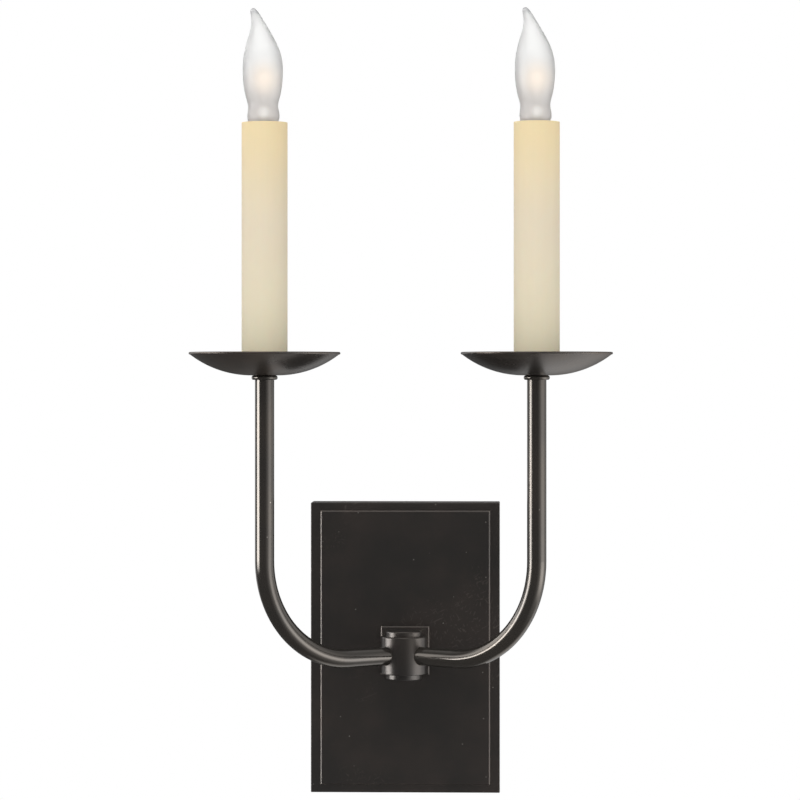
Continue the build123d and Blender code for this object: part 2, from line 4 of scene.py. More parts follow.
import bmesh
import bpy
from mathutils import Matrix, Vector


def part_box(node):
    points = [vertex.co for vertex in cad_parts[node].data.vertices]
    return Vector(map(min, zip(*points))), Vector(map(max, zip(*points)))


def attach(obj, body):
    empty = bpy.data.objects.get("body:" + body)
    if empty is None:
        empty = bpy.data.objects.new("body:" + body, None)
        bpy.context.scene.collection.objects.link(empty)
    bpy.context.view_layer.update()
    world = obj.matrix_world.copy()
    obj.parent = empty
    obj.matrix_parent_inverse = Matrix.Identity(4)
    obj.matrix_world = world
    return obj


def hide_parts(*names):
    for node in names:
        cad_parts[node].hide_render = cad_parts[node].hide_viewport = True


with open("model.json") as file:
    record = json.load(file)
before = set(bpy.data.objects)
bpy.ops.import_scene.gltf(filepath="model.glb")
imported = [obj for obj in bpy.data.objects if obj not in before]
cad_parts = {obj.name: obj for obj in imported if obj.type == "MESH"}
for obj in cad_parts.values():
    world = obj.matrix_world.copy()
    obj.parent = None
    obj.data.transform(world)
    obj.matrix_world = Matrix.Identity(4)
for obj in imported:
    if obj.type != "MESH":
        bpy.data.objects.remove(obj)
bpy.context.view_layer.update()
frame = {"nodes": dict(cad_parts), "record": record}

# A two-arm wall light. Metres; the wall plane is y = 0 and the light faces -y.

MM = 0.001
SIDES = ("left", "right")


# ---- camera, as the photograph sees the light ----------------------------------------------
CAMERA_PLACE = (0.0507, -1.773, 0.1525)
CAMERA_LEVEL = math.radians(90)
CAMERA_TURN = math.radians(1.755)
CAMERA_LENS = 140.6
CAMERA_SENSOR = 36.0
CAMERA_SHIFT_Y = -0.0305
CAMERA_NEAR = 0.05
CAMERA_FAR = 100.0


def make_camera():
    lens = bpy.data.cameras.new("studio_camera")
    lens.sensor_width = CAMERA_SENSOR
    lens.lens = CAMERA_LENS
    lens.shift_y = CAMERA_SHIFT_Y
    lens.clip_start = CAMERA_NEAR
    lens.clip_end = CAMERA_FAR
    camera = bpy.data.objects.new("studio_camera", lens)
    camera.location = CAMERA_PLACE
    camera.rotation_euler = (CAMERA_LEVEL, 0, CAMERA_TURN)
    bpy.context.scene.collection.objects.link(camera)
    bpy.context.scene.camera = camera


# ---- node trees ----------------------------------------------------------------------------
class Nodes:
    """Adds nodes to one tree; a value given to an input is a number, a colour or a socket."""

    def __init__(self, tree):
        self.tree = tree

    def add(self, kind, inputs=None, **settings):
        node = self.tree.nodes.new(kind)
        for name, value in settings.items():
            setattr(node, name, value)
        for name, value in (inputs or {}).items():
            self.feed(node.inputs[name], value)
        return node

    def feed(self, socket, value):
        if isinstance(value, bpy.types.NodeSocket):
            self.tree.links.new(value, socket)
        else:
            socket.default_value = value

    def place(self):
        """A point's place on the object."""
        return self.add("ShaderNodeTexCoord").outputs["Object"]

    def math(self, operation, first, second=0.0):
        return self.add("ShaderNodeMath", {0: first, 1: second}, operation=operation).outputs[0]

    def times(self, first, second):
        return self.math("MULTIPLY", first, second)

    def span(self, value, low, high, to_low=0.0, to_high=1.0):
        """Maps low..high to to_low..to_high with soft ends."""
        ends = {"From Min": low, "From Max": high, "To Min": to_low, "To Max": to_high}
        node = self.add("ShaderNodeMapRange", {"Value": value, **ends})
        node.interpolation_type = "SMOOTHSTEP"
        return node.outputs["Result"]

    def band(self, height, level, edges):
        """0 at the first edge and 1 at the second, both as heights from a level."""
        first, second = edges
        return self.span(height, level + first, level + second)

    def blend(self, factor, first, second):
        """The first number where the factor is 0 and the second where it is 1."""
        return self.add("ShaderNodeMix", {0: factor, 2: first, 3: second}).outputs[0]

    def tint(self, factor, first, second):
        """The first colour where the factor is 0 and the second where it is 1."""
        node = self.add("ShaderNodeMix", data_type="RGBA")
        for slot, value in ((0, factor), (6, first), (7, second)):
            self.feed(node.inputs[slot], value)
        return node.outputs[2]

    def noise(self, place, scale, detail=3.0, roughness=0.5):
        values = {"Vector": place, "Scale": scale, "Detail": detail, "Roughness": roughness}
        return self.add("ShaderNodeTexNoise", values).outputs["Fac"]

    def stretched(self, place, scale, turn=(0.0, 0.0, 0.0)):
        sizes = {"Vector": place, "Scale": scale, "Rotation": turn}
        return self.add("ShaderNodeMapping", sizes).outputs["Vector"]

    def effect(self, group, **values):
        """Places a node group; an input's spaces are underscores here."""
        node = self.add("ShaderNodeGroup", node_tree=group)
        for name, value in values.items():
            self.feed(node.inputs[name.replace("_", " ")], value)
        return node.outputs

    def bump(self, height, distance, strength):
        sizes = {"Height": height, "Distance": distance, "Strength": strength}
        return self.add("ShaderNodeBump", sizes).outputs["Normal"]


def rgb(red, green, blue):
    return (red, green, blue, 1.0)


# ---- effects that several finishes share ---------------------------------------------------
def effect_group(name, inputs, outputs):
    """A node group with float inputs (name: value) and float outputs."""
    group = bpy.data.node_groups.new(name, "ShaderNodeTree")
    new_socket = group.interface.new_socket
    for label, value in inputs.items():
        socket = new_socket(name=label, in_out="INPUT", socket_type="NodeSocketFloat")
        socket.default_value = value
    for label in outputs:
        new_socket(name=label, in_out="OUTPUT", socket_type="NodeSocketFloat")
    nodes = Nodes(group)
    given = nodes.add("NodeGroupInput").outputs
    result = nodes.add("NodeGroupOutput").inputs
    return group, nodes, given, result, nodes.place()


def cloudy_finish():
    """Large soft clouds and a fine grain, both 0 to 1."""
    group, nodes, given, result, place = effect_group(
        "cloudy_finish", {"Cloud Scale": 30.0, "Grain Scale": 900.0}, ("Cloud", "Grain")
    )
    cloud = nodes.noise(place, given["Cloud Scale"], detail=4.0, roughness=0.55)
    nodes.feed(result["Cloud"], nodes.span(cloud, 0.3, 0.7))
    grain = nodes.noise(place, given["Grain Scale"], detail=2.0)
    nodes.feed(result["Grain"], nodes.span(grain, 0.25, 0.75))
    return group


HAIR_LINES = {"Scale": 1400.0, "Length": 0.04}
HAIR_LEANS = (-62, -18, 34)     # degrees
HAIR_DRIFT = 6 * MM             # how far a line wanders off straight


def hair_scratches():
    """A mask of fine, slightly curved scratches, gathered in a few rubbed places."""
    group, nodes, given, result, place = effect_group(
        "hair_scratches", {**HAIR_LINES, "Amount": 0.5}, ("Mask",)
    )
    wander = {"Vector": place, "Scale": 45.0, "Detail": 0.0}
    drift = nodes.add("ShaderNodeTexNoise", wander).outputs["Color"]
    moved = {0: drift, "Scale": HAIR_DRIFT}
    drift = nodes.add("ShaderNodeVectorMath", moved, operation="SCALE").outputs[0]
    bent = nodes.add("ShaderNodeVectorMath", {0: place, 1: drift}, operation="ADD").outputs[0]
    thin = {"X": 1.0, "Y": 1.0, "Z": given["Length"]}
    narrow = nodes.add("ShaderNodeCombineXYZ", thin).outputs[0]
    lines = 0.0
    for lean in HAIR_LEANS:
        turned = nodes.stretched(bent, (1.0, 1.0, 1.0), (0.3, math.radians(lean), 0.2))
        streaks = nodes.noise(nodes.stretched(turned, narrow), given["Scale"], detail=0.0)
        lines = nodes.math("MAXIMUM", lines, nodes.span(streaks, 0.70, 0.78))
    gathered = nodes.span(nodes.noise(place, 22.0, detail=2.0), 0.50, 0.66)
    rubbed = nodes.times(lines, gathered)
    nodes.feed(result["Mask"], nodes.times(rubbed, given["Amount"]))
    return group


def dust_specks():
    """A mask of a few tiny bright specks of dust and pits."""
    group, nodes, given, result, place = effect_group(
        "dust_specks", {"Scale": 110.0, "Size": 0.05, "Share": 0.2}, ("Mask",)
    )
    cells = nodes.add("ShaderNodeTexVoronoi", {"Vector": place, "Scale": given["Scale"]})
    dot = nodes.math("LESS_THAN", cells.outputs["Distance"], given["Size"])
    drawn = nodes.add("ShaderNodeSeparateColor", {"Color": cells.outputs["Color"]}).outputs[0]
    chosen = nodes.math("LESS_THAN", drawn, given["Share"])
    nodes.feed(result["Mask"], nodes.times(dot, chosen))
    return group


def edge_wear_and_highlight():
    """A mask along outside edges, broken up by noise, for wear and partly for a painted highlight
    on the edges.
    """
    group, nodes, given, result, place = effect_group(
        "edge_wear_and_highlight", {"Reach": 0.5 * MM, "Patch Scale": 160.0, "Amount": 0.5}, ("Mask",)
    )
    rounded = nodes.add("ShaderNodeBevel", {"Radius": given["Reach"]}, samples=4).outputs[0]
    flat = nodes.add("ShaderNodeNewGeometry").outputs["Normal"]
    facing = nodes.add("ShaderNodeVectorMath", {0: rounded, 1: flat}, operation="DOT_PRODUCT")
    edge = nodes.span(facing.outputs["Value"], 0.96, 0.80)
    patch = nodes.span(nodes.noise(place, given["Patch Scale"]), 0.25, 0.50)
    nodes.feed(result["Mask"], nodes.times(nodes.times(edge, patch), given["Amount"]))
    return group


EFFECTS = {
    "cloudy": cloudy_finish(),
    "scratches": hair_scratches(),
    "specks": dust_specks(),
    "edges": edge_wear_and_highlight(),
}


# ---- bronze --------------------------------------------------------------------------------
def finish_material(name, **settings):
    """A material with one Principled shader, its plain settings given by socket name."""
    material = bpy.data.materials.new(name)
    material.use_nodes = True
    nodes = Nodes(material.node_tree)
    shader = material.node_tree.nodes["Principled BSDF"]
    for socket, value in settings.items():
        shader.inputs[socket.replace("_", " ")].default_value = value
    return material, nodes, shader.inputs


BRONZE_SCRATCH = rgb(0.15, 0.13, 0.115)
BRONZE_WEAR_AND_HIGHLIGHT = rgb(0.34, 0.29, 0.245)
BRONZE_DUST = rgb(0.60, 0.56, 0.50)


def dark_bronze(name, deep, warm, polish, grain_depth, wear):
    """Lacquered dark bronze: brown clouds in a near-black metal, with scratches and specks."""
    material, nodes, shader = finish_material(name, Metallic=0.75)
    cloudy = nodes.effect(EFFECTS["cloudy"], Cloud_Scale=26.0, Grain_Scale=1400.0)
    scratches = nodes.effect(EFFECTS["scratches"], **HAIR_LINES, Amount=wear)["Mask"]
    specks = nodes.effect(EFFECTS["specks"], Scale=125.0, Size=0.040, Share=0.8)["Mask"]
    edges = nodes.effect(EFFECTS["edges"], Reach=0.4 * MM, Patch_Scale=180.0, Amount=wear)["Mask"]
    colour = nodes.tint(cloudy["Cloud"], deep, warm)
    colour = nodes.tint(scratches, colour, BRONZE_SCRATCH)
    # worn edges, lightened partly as a painted highlight
    colour = nodes.tint(edges, colour, BRONZE_WEAR_AND_HIGHLIGHT)
    colour = nodes.tint(nodes.times(specks, 0.6), colour, BRONZE_DUST)
    low, high = polish
    rough = nodes.span(cloudy["Cloud"], 0.0, 1.0, low, high)
    rough = nodes.math("ADD", rough, nodes.times(scratches, 0.10))
    nodes.feed(shader["Base Color"], colour)
    nodes.feed(shader["Roughness"], rough)
    nodes.feed(shader["Normal"], nodes.bump(cloudy["Grain"], grain_depth, 0.5))
    return material


def satin_bronze():
    """The plate and its pad."""
    return dark_bronze(
        "satin_bronze",
        deep=rgb(0.072, 0.067, 0.063),
        warm=rgb(0.090, 0.077, 0.070),
        polish=(0.36, 0.42),
        grain_depth=0.02 * MM,
        # the edges worn bright, raised partly as a painted highlight on the plate's bevels
        wear=0.8,
    )


def gloss_bronze():
    """Arms and collars."""
    return dark_bronze(
        "gloss_bronze",
        deep=rgb(0.086, 0.079, 0.072),
        warm=rgb(0.102, 0.090, 0.078),
        polish=(0.12, 0.15),
        grain_depth=0.002 * MM,
        wear=0.12,
    )


def hub_bronze():
    """The turned hub, a little duller than the tubes."""
    return dark_bronze(
        "hub_bronze",
        deep=rgb(0.070, 0.065, 0.061),
        warm=rgb(0.086, 0.075, 0.067),
        polish=(0.29, 0.36),
        grain_depth=0.012 * MM,
        wear=0.4,
    )


def dish_bronze():
    """The spun dishes, browner and softer than the tubes."""
    return dark_bronze(
        "dish_bronze",
        deep=rgb(0.092, 0.083, 0.076),
        warm=rgb(0.136, 0.110, 0.091),
        polish=(0.26, 0.35),
        grain_depth=0.015 * MM,
        wear=0.2,
    )


# ---- candles -------------------------------------------------------------------------------
IVORY = rgb(0.84, 0.735, 0.56)
IVORY_LAMPLIT = rgb(0.93, 0.755, 0.45)
IVORY_FOOT_PAINTED_LIGHT = rgb(0.88, 0.80, 0.59)
IVORY_PAINTED_SHADE = rgb(0.62, 0.545, 0.40)
IVORY_STREAK = rgb(0.70, 0.60, 0.40)
IVORY_CLOUD = rgb(0.66, 0.58, 0.42)
LAMPLIT_BAND = (-60 * MM, 4 * MM)       # from the candle's top
PAINTED_FOOT_LIGHT_BAND = (85 * MM, 10 * MM)      # from its foot; painted light, the ivory lighter and yellower towards the foot against the dish's shade
PAINTED_SHADE_BAND = (12 * MM, 0.0)              # from its foot; painted shade at the very foot, by the dish


def candle_ivory():
    """Ivory plastic with faint streaks along the candle; painted lamplight warms it near the lamp,
    painted light makes its foot lighter and yellower, and painted shade darkens it just above the
    dish.
    """
    material, nodes, shader = finish_material(
        "candle_ivory",
        IOR=1.48,
        Specular_IOR_Level=0.32,
        Subsurface_Weight=0.1,
        Subsurface_Scale=0.6 * MM,
    )
    place = nodes.place()
    height = nodes.add("ShaderNodeSeparateXYZ", {0: place}).outputs["Z"]
    low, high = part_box("left_candle_sleeve")
    cloudy = nodes.effect(EFFECTS["cloudy"], Cloud_Scale=40.0, Grain_Scale=700.0)
    streaks = nodes.noise(nodes.stretched(place, (1.0, 1.0, 0.04)), 420.0, detail=2.0)
    colour = nodes.tint(nodes.band(height, high.z, LAMPLIT_BAND), IVORY, IVORY_LAMPLIT)
    # painted light: the foot made lighter and yellower against the dish's shade
    colour = nodes.tint(nodes.band(height, low.z, PAINTED_FOOT_LIGHT_BAND), colour, IVORY_FOOT_PAINTED_LIGHT)
    # painted shade at the very foot, by the dish
    painted_shade = nodes.times(nodes.band(height, low.z, PAINTED_SHADE_BAND), 0.5)
    colour = nodes.tint(painted_shade, colour, IVORY_PAINTED_SHADE)
    colour = nodes.tint(nodes.times(streaks, 0.10), colour, IVORY_STREAK)
    colour = nodes.tint(nodes.times(cloudy["Cloud"], 0.08), colour, IVORY_CLOUD)
    nodes.feed(shader["Base Color"], colour)
    nodes.feed(shader["Roughness"], nodes.span(streaks, 0.3, 0.7, 0.60, 0.72))
    nodes.feed(shader["Normal"], nodes.bump(streaks, 0.05 * MM, 0.35))
    return material


# ---- glass ---------------------------------------------------------------------------------
BULB_NECK = 5.0 * MM                    # the glass below the cap's top
GLOW_HEIGHT = 25.5 * MM                 # the glow's middle above the cap
GLOW_REACH = 11.2 * MM
GLOW_SQUEEZE = 0.9                      # below 1 the glow is taller than wide
SPOT_HEIGHT = 7.0 * MM                  # a painted highlight where the support inside the neck shows bright, above the cap
SPOT_EDGES = (4.8 * MM, 0.8 * MM)       # from its middle
NECK_SHADE_BAND = (34 * MM, 11 * MM)          # the neck's painted shade, greyer, from the glass's foot
BEAD_BAND = (-4.0 * MM, -2.2 * MM)      # the sealed bead, from the tip
LIT_FROM = (-34 * MM, -19 * MM)         # the upper glass that is filled with light, from the tip
LIT_TO = (-4 * MM, -12 * MM)

FROST = rgb(1.0, 1.0, 0.995)
FROST_CLOUD = rgb(0.985, 0.985, 0.98)
FROST_EDGE_SHADE = rgb(0.865, 0.865, 0.86)
FROST_GLOW = rgb(1.0, 0.975, 0.94)
FROST_NECK_SHADE = rgb(0.895, 0.870, 0.850)
BEAD_MIDDLE = rgb(0.88, 0.88, 0.88)
BEAD_RIM_SHADE = rgb(0.14, 0.14, 0.15)
UNLIT = rgb(0.0, 0.0, 0.0)
FILLED_LIGHT = rgb(0.34, 0.34, 0.33)
GLOW_LIGHT = rgb(0.60, 0.38, 0.19)
PAINTED_SPOT_HIGHLIGHT = rgb(1.0, 0.98, 0.95)


def from_axis(nodes, apart, height, squeeze=1.0):
    """Distance in the plate's plane from a point on the bulb's axis; both bulbs fold onto one."""
    low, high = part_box("right_bulb_shell")
    stem = (low + high) / 2
    side = nodes.math("SUBTRACT", nodes.math("ABSOLUTE", apart["X"]), stem.x)
    up = nodes.times(nodes.math("SUBTRACT", apart["Z"], height), squeeze)
    offset = nodes.add("ShaderNodeCombineXYZ", {0: side, 2: up}).outputs[0]
    return nodes.add("ShaderNodeVectorMath", {0: offset}, operation="LENGTH").outputs["Value"]


def frosted_glass():
    """Frosted glass with a sealed bead at its tip, lit softly from inside."""
    material, nodes, shader = finish_material(
        "frosted_glass", IOR=1.46, Transmission_Weight=0.94, Emission_Strength=0.12
    )
    apart = nodes.add("ShaderNodeSeparateXYZ", {0: nodes.place()}).outputs
    height = apart["Z"]
    low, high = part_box("left_bulb_glass")
    cap = low.z + BULB_NECK
    glow = from_axis(nodes, apart, cap + GLOW_HEIGHT, GLOW_SQUEEZE)
    glow = nodes.span(glow, GLOW_REACH, 0.0)
    spot = nodes.span(from_axis(nodes, apart, cap + SPOT_HEIGHT), *SPOT_EDGES)
    bead = nodes.band(height, high.z, BEAD_BAND)
    skin = nodes.add("ShaderNodeLayerWeight", {"Blend": 0.35}).outputs["Facing"]

    cloudy = nodes.effect(EFFECTS["cloudy"], Cloud_Scale=120.0, Grain_Scale=2600.0)
    frost = nodes.tint(cloudy["Cloud"], FROST, FROST_CLOUD)
    # painted shade: the frost greyer towards its edges
    frost = nodes.tint(nodes.span(skin, 0.03, 0.50), frost, FROST_EDGE_SHADE)
    frost = nodes.tint(glow, frost, FROST_GLOW)
    # painted shade: the neck greyer
    frost = nodes.tint(nodes.band(height, low.z, NECK_SHADE_BAND), frost, FROST_NECK_SHADE)
    # painted shade: the clear bead dark round its rim
    rim = nodes.tint(nodes.span(skin, 0.12, 0.60), BEAD_MIDDLE, BEAD_RIM_SHADE)
    nodes.feed(shader["Base Color"], nodes.tint(bead, frost, rim))
    nodes.feed(shader["Roughness"], nodes.span(bead, 0.0, 1.0, 0.42, 0.36))

    # The upper glass is filled with light, the middle with the lamp's own peach glow.
    filled = nodes.times(
        nodes.band(height, high.z, LIT_FROM), nodes.band(height, high.z, LIT_TO)
    )
    filled = nodes.times(filled, nodes.span(skin, 0.55, 0.08))
    light = nodes.tint(filled, UNLIT, FILLED_LIGHT)
    light = nodes.tint(glow, light, GLOW_LIGHT)
    # painted highlight where the support inside the neck shows bright
    light = nodes.tint(spot, light, PAINTED_SPOT_HIGHLIGHT)
    nodes.feed(shader["Emission Color"], light)
    nodes.feed(shader["Normal"], nodes.bump(cloudy["Grain"], 0.01 * MM, 0.2))
    return material


def clear_glass():
    """The stem inside the bulb."""
    material, nodes, shader = finish_material("clear_glass", IOR=1.5, Transmission_Weight=1.0)
    cloudy = nodes.effect(EFFECTS["cloudy"], Cloud_Scale=200.0, Grain_Scale=1500.0)
    colour = nodes.tint(cloudy["Cloud"], rgb(0.97, 0.98, 0.97), rgb(0.93, 0.95, 0.93))
    nodes.feed(shader["Base Color"], colour)
    nodes.feed(shader["Roughness"], nodes.span(cloudy["Grain"], 0.0, 1.0, 0.02, 0.06))
    return material


# ---- fittings ------------------------------------------------------------------------------
MOULDED_DUST = rgb(0.6, 0.58, 0.54)


def bright_metal(name, light, dark, polish, streak_scale):
    """A plated or bare metal with fine drawn lines, spots and handling marks."""
    material, nodes, shader = finish_material(name, Metallic=1.0)
    drawn = nodes.stretched(nodes.place(), (1.0, 0.06, 1.0))
    lines = nodes.noise(drawn, streak_scale, detail=3.0)
    cloudy = nodes.effect(EFFECTS["cloudy"], Cloud_Scale=90.0, Grain_Scale=1800.0)
    scratches = nodes.effect(EFFECTS["scratches"], **HAIR_LINES, Amount=0.5)["Mask"]
    colour = nodes.tint(cloudy["Cloud"], light, dark)
    colour = nodes.tint(nodes.times(lines, 0.25), colour, dark)
    colour = nodes.tint(scratches, colour, light)
    low, high = polish
    grain = nodes.math("ADD", lines, cloudy["Grain"])
    nodes.feed(shader["Base Color"], colour)
    nodes.feed(shader["Roughness"], nodes.span(lines, 0.3, 0.7, low, high))
    nodes.feed(shader["Normal"], nodes.bump(grain, 0.03 * MM, 0.3))
    return material


def moulded(name, light, dark, polish, **settings):
    """Moulded or extruded plastic, or thick paint, with a fine grain and faint flow clouds."""
    material, nodes, shader = finish_material(name, **settings)
    cloudy = nodes.effect(EFFECTS["cloudy"], Cloud_Scale=110.0, Grain_Scale=2200.0)
    specks = nodes.effect(EFFECTS["specks"], Scale=260.0, Size=0.05, Share=0.15)["Mask"]
    colour = nodes.tint(cloudy["Cloud"], light, dark)
    colour = nodes.tint(nodes.times(specks, 0.4), colour, MOULDED_DUST)
    low, high = polish
    nodes.feed(shader["Base Color"], colour)
    nodes.feed(shader["Roughness"], nodes.span(cloudy["Grain"], 0.0, 1.0, low, high))
    nodes.feed(shader["Normal"], nodes.bump(cloudy["Grain"], 0.04 * MM, 0.4))
    return material


# Each finish: its name, its light and dark colour, its smoothest and roughest place, and for a
# metal the scale of its drawn lines.
FINISHES = {
    "bronze_satin": satin_bronze(),
    "bronze_gloss": gloss_bronze(),
    "candle": candle_ivory(),
    "frosted_glass": frosted_glass(),
    "clear_glass": clear_glass(),
    "brass": bright_metal(
        "bare_brass", rgb(0.80, 0.58, 0.28), rgb(0.62, 0.43, 0.19), (0.20, 0.32), 700.0
    ),
    "nickel": bright_metal(
        "nickel_plate", rgb(0.70, 0.68, 0.64), rgb(0.56, 0.54, 0.50), (0.14, 0.24), 900.0
    ),
    "zinc_steel": bright_metal(
        "zinc_plate", rgb(0.62, 0.64, 0.66), rgb(0.45, 0.46, 0.47), (0.26, 0.40), 500.0
    ),
    "tungsten": bright_metal(
        "tungsten_wire", rgb(0.33, 0.33, 0.34), rgb(0.22, 0.22, 0.23), (0.30, 0.40), 2500.0
    ),
    "green_screw": moulded(
        "green_screw_finish",
        rgb(0.04, 0.26, 0.09),
        rgb(0.02, 0.17, 0.06),
        (0.28, 0.38),
        Metallic=0.6,
    ),
    "black_insulator": moulded(
        "black_vitreous",
        rgb(0.016, 0.016, 0.018),
        rgb(0.026, 0.024, 0.024),
        (0.06, 0.12),
        IOR=1.52,
    ),
    "black_phenolic": moulded(
        "black_phenolic", rgb(0.022, 0.021, 0.020), rgb(0.034, 0.031, 0.029), (0.24, 0.36)
    ),
    "wire_cover": moulded(
        "wire_cover", rgb(0.82, 0.81, 0.77), rgb(0.74, 0.73, 0.68), (0.30, 0.42)
    ),
    "wire_nut": moulded(
        "orange_nut", rgb(0.80, 0.22, 0.035), rgb(0.66, 0.17, 0.025), (0.34, 0.48)
    ),
    "bush": moulded(
        "black_nylon", rgb(0.040, 0.040, 0.040), rgb(0.060, 0.060, 0.058), (0.40, 0.50)
    ),
}
DISH_FINISH = dish_bronze()
HUB_FINISH = hub_bronze()
OWN_FINISHES = {
    "left_dish": DISH_FINISH,
    "right_dish": DISH_FINISH,
    "hub_barrel": HUB_FINISH,
    "barrel_top_cap": HUB_FINISH,
    "barrel_bottom_cap": HUB_FINISH,
}


def dress_cad_nodes():
    """Gives every CAD node the finish of its slot in the record, or one of its own."""
    for row in frame["record"]["subparts"]:
        mesh = frame["nodes"][row["node"]].data
        mesh.materials.clear()
        mesh.materials.append(OWN_FINISHES.get(row["node"], FINISHES[row["material_slot"]]))


# ---- pieces that stand for plain CAD solids ------------------------------------------------
def add_piece(name, mesh, body, slot, *nodes):
    piece = bpy.data.objects.new(name, mesh)
    bpy.context.scene.collection.objects.link(piece)
    mesh.materials.append(FINISHES[slot])
    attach(piece, body)
    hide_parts(*nodes)


def smooth_mesh(name, points, faces, sharp_angle):
    """A mesh with its seams closed, smooth but for edges sharper than an angle in degrees."""
    mesh = bpy.data.meshes.new(name)
    mesh.from_pydata(points, [], faces)
    form = bmesh.new()
    form.from_mesh(mesh)
    bmesh.ops.remove_doubles(form, verts=form.verts, dist=1e-7)
    bmesh.ops.recalc_face_normals(form, faces=form.faces)
    form.to_mesh(mesh)
    form.free()
    mesh.shade_smooth()
    mesh.set_sharp_from_angle(angle=math.radians(sharp_angle))
    return mesh


def grid_faces(rows, columns, closed_rows=False):
    """Faces of a grid whose columns close round; closed_rows joins the last row to the first."""
    faces = []
    for row in range(rows if closed_rows else rows - 1):
        below, above = row * columns, (row + 1) % rows * columns
        for column in range(columns):
            after = (column + 1) % columns
            faces.append((below + column, below + after, above + after, above + column))
    return faces


THREAD_PITCH = 1.75 * MM
THREAD_DEPTH = 0.42 * MM
THREAD_WALL = 0.28 * MM
THREAD_STEPS = 64
ROWS_PER_PITCH = 10
PLAIN_FOOT = 0.6 * MM           # plain metal below and above the thread
PLAIN_CAP_TOP = 1.8 * MM
PLAIN_HOLDER_TOP = 0.8 * MM


def thread_level(height, angle):
    """A rolled thread's depth at a place: 1 at its crest and 0 at its root."""
    return 0.5 + 0.5 * math.cos(2 * math.pi * (height / THREAD_PITCH) - angle)


def threaded_sleeve(name, axis, low, high, crest, plain_top):
    """A thin rolled-thread shell about an upright axis; the thread fades into plain ends."""
    rows = int((high - low) / THREAD_PITCH * ROWS_PER_PITCH)
    heights = [low + (high - low) * row / rows for row in range(rows + 1)]
    rings = [(z, 0.0) for z in heights] + [(z, THREAD_WALL) for z in reversed(heights)]
    points = []
    for z, inset in rings:
        fade = min(1.0, max(0.0, (high - plain_top - z) / THREAD_PITCH))
        fade *= min(1.0, max(0.0, (z - low - PLAIN_FOOT) / THREAD_PITCH))
        for step in range(THREAD_STEPS):
            angle = 2 * math.pi * step / THREAD_STEPS
            drop = THREAD_DEPTH * fade * (1 - thread_level(z, angle))
            radius = crest - drop - inset
            x, y = radius * math.cos(angle), radius * math.sin(angle)
            points.append((axis.x + x, axis.y + y, z))
    return smooth_mesh(name, points, grid_faces(len(rings), THREAD_STEPS, closed_rows=True), 60)


def bulb_threads(side):
    """The bulb's screw cap and the lampholder's screw shell, with their rolled thread."""
    low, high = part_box(f"{side}_bulb_shell")
    axis = (low + high) / 2
    crest = (high.x - low.x) / 2
    cap = threaded_sleeve(
        f"{side}_bulb_cap_thread", axis, low.z, high.z, crest, PLAIN_CAP_TOP
    )
    add_piece(cap.name, cap, f"{side}_bulb", "nickel", f"{side}_bulb_shell")
    low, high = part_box(f"{side}_socket_shell")
    crest = (high.x - low.x) / 2
    holder = threaded_sleeve(
        f"{side}_socket_thread", axis, low.z, high.z, crest, PLAIN_HOLDER_TOP
    )
    add_piece(holder.name, holder, "fixture", "brass", f"{side}_socket_shell")


NUT_LENGTH = 18 * MM
NUT_MOUTH = 5.6 * MM            # radii
NUT_SKIRT = 5.2 * MM
NUT_TIP = 3.9 * MM
NUT_BORE = 2.3 * MM
NUT_POINT = 0.4 * MM            # the flat in the middle of each end
NUT_BORE_DEPTH = 11 * MM
NUT_FLUTES = 12
NUT_FLUTE_DEPTH = 0.35 * MM
NUT_STEPS = 96

# Rings of one wire nut: place along it, radius, and how deep its flutes are there.
NUT_RINGS = (
    (NUT_BORE_DEPTH, NUT_POINT, 0.0),
    (NUT_BORE_DEPTH, NUT_BORE, 0.0),
    (1.2 * MM, NUT_BORE, 0.0),
    (0.0, NUT_MOUTH - 1.2 * MM, 0.0),
    (0.0, NUT_MOUTH - 0.3 * MM, 0.0),
    (0.3 * MM, NUT_MOUTH, 0.0),
    (2.2 * MM, NUT_MOUTH, 0.0),
    (2.9 * MM, NUT_SKIRT, 0.2),
    (4.2 * MM, NUT_SKIRT - 0.1 * MM, 1.0),
    (NUT_LENGTH * 0.5, (NUT_SKIRT + NUT_TIP) / 2, 1.0),
    (NUT_LENGTH - 2.2 * MM, NUT_TIP + 0.1 * MM, 0.9),
    (NUT_LENGTH - 0.9 * MM, NUT_TIP - 0.3 * MM, 0.5),
    (NUT_LENGTH - 0.25 * MM, NUT_TIP - 1.1 * MM, 0.1),
    (NUT_LENGTH, NUT_TIP - 2.2 * MM, 0.0),
    (NUT_LENGTH, NUT_POINT, 0.0),
)


def wire_nuts():
    """Two fluted twist-on wire nuts behind the plate, mouths towards the middle."""
    low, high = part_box("wire_nuts")
    middle = (low + high) / 2
    points, faces = [], []
    for end in (-1, 1):
        mouth = (high.x - NUT_LENGTH) * end
        first = len(points)
        for along, radius, flute in NUT_RINGS:
            for step in range(NUT_STEPS):
                angle = 2 * math.pi * step / NUT_STEPS
                ridge = 0.5 + 0.5 * math.cos(NUT_FLUTES * angle)
                across = radius - NUT_FLUTE_DEPTH * flute * (1 - ridge)
                points.append((
                    mouth + end * along,
                    middle.y + across * math.cos(angle),
                    middle.z + across * math.sin(angle),
                ))
        for face in grid_faces(len(NUT_RINGS), NUT_STEPS):
            faces.append(tuple(first + corner for corner in face))
        last = first + (len(NUT_RINGS) - 1) * NUT_STEPS
        faces.append(tuple(first + step for step in range(NUT_STEPS)))
        faces.append(tuple(last + step for step in reversed(range(NUT_STEPS))))
    mesh = smooth_mesh("twist_wire_nuts", points, faces, 35)
    add_piece(mesh.name, mesh, "fixture", "wire_nut", "wire_nuts")


FILAMENT_TURNS = 26
FILAMENT_STEPS = 12             # points in a turn
FILAMENT_WIRE = 0.055 * MM      # radius


